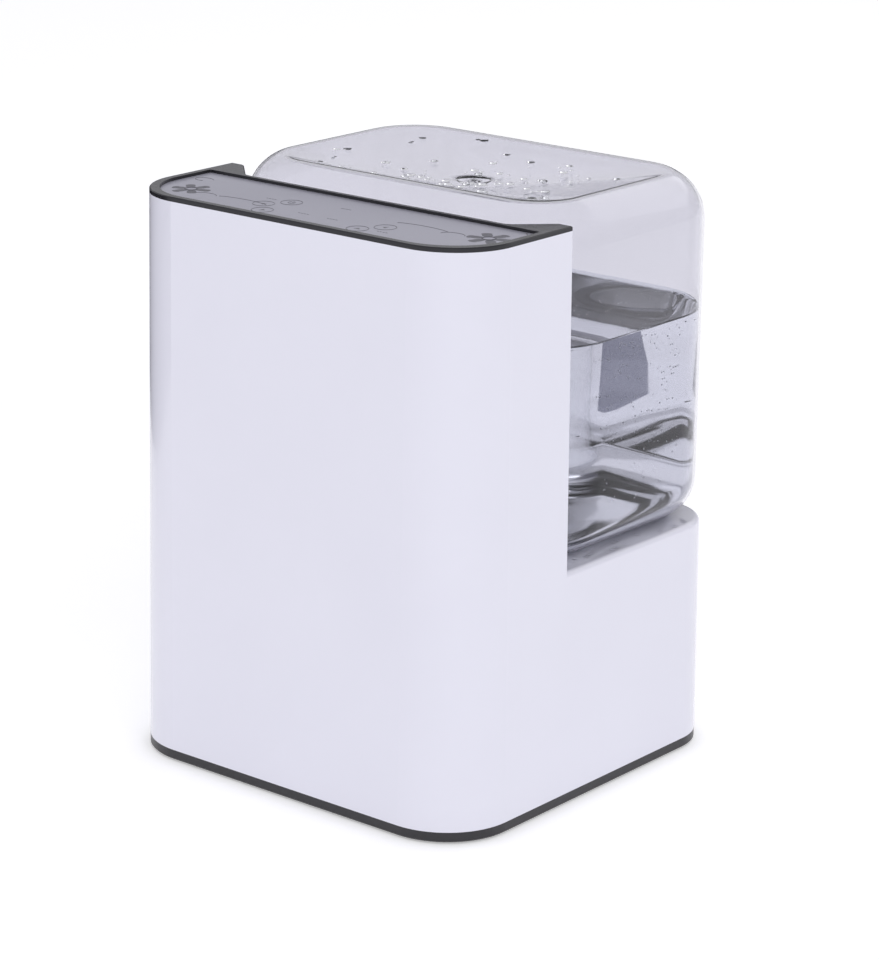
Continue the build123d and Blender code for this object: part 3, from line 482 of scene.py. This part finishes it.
def ridgeSteps(topZ):
    # from the upright wall over the shoulder and a tighter ridge, as inset and height
    turns = [(0, tank["ridgeTurn"], tank["topRound"] * mm, tank["shoulderArc"]),
             (tank["ridgeTurn"], 90 + tank["dishSlope"], tank["ridgeRound"] * mm, tank["ridgeArc"])]
    inset, rise, places = 0.0, 0.0, [(0.0, 0.0)]
    for start, stop, radius, count in turns:
        for step in range(1, count + 1):
            here = math.radians(start + (stop - start) * step / count)
            begin = math.radians(start)
            places.append((inset + radius * (math.cos(begin) - math.cos(here)),
                           rise + radius * (math.sin(here) - math.sin(begin))))
        inset, rise = places[-1]
    peak = max(height for _, height in places)
    return [(step, topZ - peak + height) for step, height in places]


def dishHeight(share, topZ):
    # dished top: 0 at its rim, 1 at the gate mark in the middle
    rim = ridgeSteps(topZ)[-1][1]
    return rim - (rim - tank["dishCentre"] * mm) * (1 - (1 - share) ** tank["dishPower"])


tankPlaces = buildTank()
print("humidifier: tank built", [round(float(v), 4) for v in tankPlaces[1:]])


def buildWater(centre, halfX, halfY, footZ):
    gap = (tank["wall"] + tank["film"]) * mm
    corner, steps, rings = tank["corner"] * mm - gap, tank["steps"], tank["waterRings"]
    footR = tank["footRound"] * mm - gap
    halfX, halfY = halfX - gap, halfY - gap
    floor = footZ + gap
    level = tank["waterTop"] * mm
    bm = bmesh.new()
    loops = footLoops(bm, centre, halfX, halfY, corner, footR, (tank["neckR"] + tank["neckGap"]) * mm,
                      floor, tank["waterLift"] * mm)
    for step in range(1, rings + 1):
        loops.append(roundedRing(bm, centre, halfX, halfY, corner,
                                 floor + footR + (level - floor - footR) * step / rings, steps))
    for inset, drop in tank["meniscus"]:
        inset = inset * mm
        loops.append(roundedRing(bm, centre, halfX - inset, halfY - inset, corner - inset,
                                 level - drop * mm, steps))
    loft(bm, loops)
    bmesh.ops.contextual_create(bm, geom=loops[0])
    bmesh.ops.contextual_create(bm, geom=loops[-1])
    bmesh.ops.recalc_face_normals(bm, faces=bm.faces)
    water = Finish("tankWater", Base_Color=(*tank["waterColour"], 1), Transmission_Weight=1.0, IOR=1.33)
    ripple = water.noise(5, 1)
    water.bump(ripple, 0.0004, 0.15)
    height = water.add("ShaderNodeSeparateXYZ", {}, {"Vector": water.place()}, 2)
    # the water's Base Color darkens towards the bottom: painted shade for the shadowed deck and tank foot
    # below; the same band also gets rougher
    paintedShadeShare = water.ramp(height + ripple * 0.03, floor + tank["paintedShadeFrom"] * mm, floor + tank["paintedShadeTo"] * mm)
    water.feed("Base Color", water.tint(paintedShadeShare, tank["paintedShadeColour"], tank["waterColour"]))
    water.feed("Roughness", water.ramp(paintedShadeShare, 0, 1, tank["deepBlur"], 0.0))
    finishPiece(bm, "tank_water", water, "tank", sharpAngle=40)


tankCentre, tankHalfX, tankHalfY, tankTopZ, tankFootZ = tankPlaces
buildWater(tankCentre, tankHalfX, tankHalfY, tankFootZ)
print("humidifier: water poured")

drops = {"seed": 41, "dish": 58, "deck": 16, "bubbles": 260, "least": 0.7, "most": 2.6, "flat": 0.34,
         "dishSpread": (0.12, 0.85), "stretch": 1.25, "clump": 4, "bubbleSize": (0.2, 0.5), "bubblePower": 1.5,
         "deckSize": (0.7, 1.9), "deckEdge": (2, 12), "skinGap": 0.4, "cornerClear": 50.0,
         "surfaceClear": 4.0, "footClear": 30.0, "sink": 0.3}


def dropMesh(bm, place, radius, flat, rings=6, segments=10):
    made = bmesh.ops.create_uvsphere(bm, u_segments=segments, v_segments=rings, radius=radius)["verts"]
    bmesh.ops.scale(bm, vec=(1, 1, flat), verts=made)
    bmesh.ops.translate(bm, vec=place, verts=made)
    return made


def wetFinish(name, colour):
    wet = Finish(name, Base_Color=(*colour, 1), Transmission_Weight=1.0, IOR=1.33)
    wet.feed("Roughness", wet.ramp(wet.noise(60), 0.3, 0.7, 0.0, 0.03))
    return wet


def buildDrops(centre, halfX, halfY, topZ, footZ):
    chance = random.Random(drops["seed"])
    bm = bmesh.new()
    inset = ridgeSteps(topZ)[-1][0]
    for _ in range(drops["dish"]):
        share = chance.uniform(*drops["dishSpread"])
        angle = chance.uniform(0, 2 * math.pi)
        x = (halfX - inset) * (1 - share) * max(-1, min(1, drops["stretch"] * math.cos(angle)))
        y = (halfY - inset) * (1 - share) * max(-1, min(1, drops["stretch"] * math.sin(angle)))
        place = centre + Vector((x, y, dishHeight(share, topZ)))
        for _ in range(chance.choice((1, 1, 2, 3))):
            size = chance.uniform(drops["least"], drops["most"]) * mm
            near = place + Vector((chance.uniform(-drops["clump"], drops["clump"]) * mm,
                                   chance.uniform(-drops["clump"], drops["clump"]) * mm, size * 0.2))
            dropMesh(bm, near, size, drops["flat"])
    finishPiece(bm, "tank_top_drops", wetFinish("wetDrops", (0.96, 0.965, 0.98)), "tank")
    bm = bmesh.new()
    sideX = halfX - (tank["wall"] + tank["film"]) * mm
    sideY = halfY - (tank["wall"] + tank["film"]) * mm
    level = tank["waterTop"] * mm
    skin, clear = drops["skinGap"] * mm, drops["cornerClear"] * mm
    for count in range(drops["bubbles"]):
        z = (level - drops["surfaceClear"] * mm
             - (level - footZ - drops["footClear"] * mm) * chance.random() ** drops["bubblePower"])
        size = chance.uniform(*drops["bubbleSize"]) * mm
        if count % 3:
            place = Vector((sideX - size - skin, centre.y + chance.uniform(-1, 1) * (halfY - clear), z))
        else:
            place = Vector((chance.uniform(-1, 1) * (halfX - clear), centre.y + sideY - size - skin, z))
        dropMesh(bm, place, size, 1.0, 4, 6)
    # the bubbles are opaque and pale: their white base colour is a painted glint, in place of the light real
    # air bubbles reflect
    air = Finish("airBubbles", Base_Color=(0.9, 0.92, 0.96, 1), IOR=1.5, Roughness=0.15)
    air.feed("Base Color", air.tint(air.noise(300), (0.82, 0.84, 0.9), (0.97, 0.98, 1.0)))
    finishPiece(bm, "tank_bubbles", air, "tank")
    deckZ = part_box("tank_bottle")[0].z - drops["sink"] * mm
    bm = bmesh.new()
    for _ in range(drops["deck"]):
        size = chance.uniform(*drops["deckSize"]) * mm
        place = Vector((halfX - chance.uniform(*drops["deckEdge"]) * mm,
                        centre.y + chance.uniform(-0.6, 0.7) * halfY, deckZ + size * 0.1))
        dropMesh(bm, place, size, drops["flat"])
    finishPiece(bm, "deck_drops", wetFinish("deckDrops", (0.95, 0.955, 0.97)), "housing")


buildDrops(*tankPlaces)
print("humidifier: drops and bubbles placed")


panel = {"line": 0.17, "keyR": 5.75, "lift": 0.05,
         "keys": ((-29.3, -78.5), (-38.4, -90.2), (-28.8, -101.7), (44.5, -90.2), (35.8, -101.7)),
         "arrows": (None, 0, 180, 0, -90),
         "dashes": ((-42.9, -79.0), (-7.0, -94.2), (12.5, -94.2), (50.4, -99.5)),
         "flowers": ((-91.0, -89.2, 10.7), (98.8, -74.5, 11.5)), "petals": 6}


def lineMesh(bm, points, radius, closed=False):
    curve = bpy.data.curves.new("line", "CURVE")
    curve.dimensions = "3D"
    curve.bevel_depth = radius
    curve.bevel_resolution = 1
    curve.use_fill_caps = True
    spline = curve.splines.new("POLY")
    spline.points.add(len(points) - 1)
    for point, (x, y, z) in zip(spline.points, points):
        point.co = (x, y, z, 1)
    spline.use_cyclic_u = closed
    holder = bpy.data.objects.new("line", curve)
    mesh = holder.to_mesh()
    bm.from_mesh(mesh)
    holder.to_mesh_clear()
    bpy.data.objects.remove(holder)
    bpy.data.curves.remove(curve)


def flatDisc(bm, x, y, z, halfX, halfY, turn, sides=24):
    made = bmesh.ops.create_cone(bm, cap_ends=True, segments=sides, radius1=1, radius2=1,
                                 depth=panel["lift"] * mm)["verts"]
    bmesh.ops.scale(bm, vec=(halfX, halfY, 1), verts=made)
    bmesh.ops.rotate(bm, cent=(0, 0, 0), matrix=Matrix.Rotation(math.radians(turn), 3, "Z"), verts=made)
    bmesh.ops.translate(bm, vec=(x, y, z), verts=made)


def sweepLine(x, y, z, radius, start, stop, squash=1.0, grow=0.0):
    steps = max(8, int(abs(stop - start) / 8))
    places = []
    for step in range(steps + 1):
        angle = math.radians(start + (stop - start) * step / steps)
        reach = radius + grow * step / steps
        places.append(((x + reach * math.cos(angle)) * mm, (y + squash * reach * math.sin(angle)) * mm, z))
    return places


def buildPanelPrint():
    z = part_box("control_panel")[1].z
    line = panel["line"] * mm
    bm = bmesh.new()
    for (x, y), turn in zip(panel["keys"], panel["arrows"]):
        lineMesh(bm, sweepLine(x, y, z, panel["keyR"], 0, 352), line, True)
        if turn is None:
            lineMesh(bm, sweepLine(x, y, z, 1.9, 125, 415), line)
            lineMesh(bm, [(x * mm, (y + 0.6) * mm, z), (x * mm, (y + 2.6) * mm, z)], line)
        else:
            flatDisc(bm, x * mm, y * mm, z, 2.3 * mm, 1.7 * mm, turn + 90, 3)
    for x, y in panel["dashes"]:
        for part in range(4):
            left = x - 3.6 + 1.9 * part
            lineMesh(bm, [(left * mm, y * mm, z), ((left + 1.3) * mm, y * mm, z)], line * 0.8)
    for x, y, size in panel["flowers"]:
        for petal in range(panel["petals"]):
            turn = 360 / panel["petals"] * petal + 15
            out = Vector((math.cos(math.radians(turn)), math.sin(math.radians(turn))))
            flatDisc(bm, (x + 0.62 * size * out.x) * mm, (y + 0.62 * size * out.y) * mm, z,
                     0.36 * size * mm, 0.24 * size * mm, turn)
            flatDisc(bm, (x + 0.88 * size * out.x) * mm, (y + 0.88 * size * out.y) * mm, z + 0.00001,
                     0.17 * size * mm, 0.25 * size * mm, turn)
        lineMesh(bm, sweepLine(x, y, z, 0.3 * size, 0, 352), line * 2.2, True)
        side = math.copysign(1, x)
        lineMesh(bm, sweepLine(x + side * 12, y + 22, z, 6.5, 30, 300, 0.7, -2.5), line)
        lineMesh(bm, sweepLine(x - side * 17, y - 5, z, 9.0, 200, 20, 0.55, -4.0), line)
        lineMesh(bm, sweepLine(x - side * 40, y - 4, z, 17.0, 170, 20, 0.22), line)
    lineMesh(bm, sweepLine(2.0, -73.5, z, 20.0, 100, 80, 0.1), line * 0.7)
    bmesh.ops.recalc_face_normals(bm, faces=bm.faces)
    ink = Finish("panelInk", Base_Color=(0.13, 0.128, 0.15, 1), IOR=1.45)
    ink.feed("Base Color", ink.tint(ink.noise(400), (0.115, 0.112, 0.132), (0.15, 0.147, 0.172)))
    ink.feed("Roughness", ink.ramp(ink.noise(900), 0.3, 0.7, 0.38, 0.5))
    finishPiece(bm, "panel_print", ink, "housing", sharpAngle=40)


buildPanelPrint()
print("humidifier: panel print laid")

spring = {"turns": 4, "stepsPerTurn": 28, "sides": 10, "wire": 1.0, "slack": 0.05, "press": 4.0}


def buildSpring():
    low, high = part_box("valve_spring")
    anchor = Vector(((low.x + high.x) / 2, (low.y + high.y) / 2, high.z))
    length = high.z - low.z
    wireR, slack = spring["wire"] / 2 * mm, spring["slack"] * mm
    rise = length - 2 * (wireR + slack)
    steps = spring["turns"] * spring["stepsPerTurn"]
    start = Vector(((high.x - low.x) / 2 - wireR, 0, 0)) + anchor
    start.z = low.z + wireR + slack
    bm = bmesh.new()
    upright = Matrix.Translation(start) @ Matrix.Rotation(math.pi / 2, 4, "X")
    ring = bmesh.ops.create_circle(bm, segments=spring["sides"], radius=wireR, matrix=upright)["verts"]
    edges = list({edge for vert in ring for edge in vert.link_edges})
    bmesh.ops.spin(bm, geom=ring + edges, cent=anchor, axis=(0, 0, 1), dvec=(0, 0, rise / steps),
                   angle=2 * math.pi * spring["turns"], steps=steps)
    bmesh.ops.holes_fill(bm, edges=bm.edges[:], sides=0)
    bmesh.ops.recalc_face_normals(bm, faces=bm.faces)
    piece = finishPiece(bm, "valve_coil", metalFinish("springSteel", (0.6, 0.6, 0.63), 0.28), "cap",
                        sharpAngle=40)
    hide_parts("valve_spring")
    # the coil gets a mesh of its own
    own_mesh(piece)


buildSpring()
print("humidifier: valve spring wound")

print("humidifier: done")
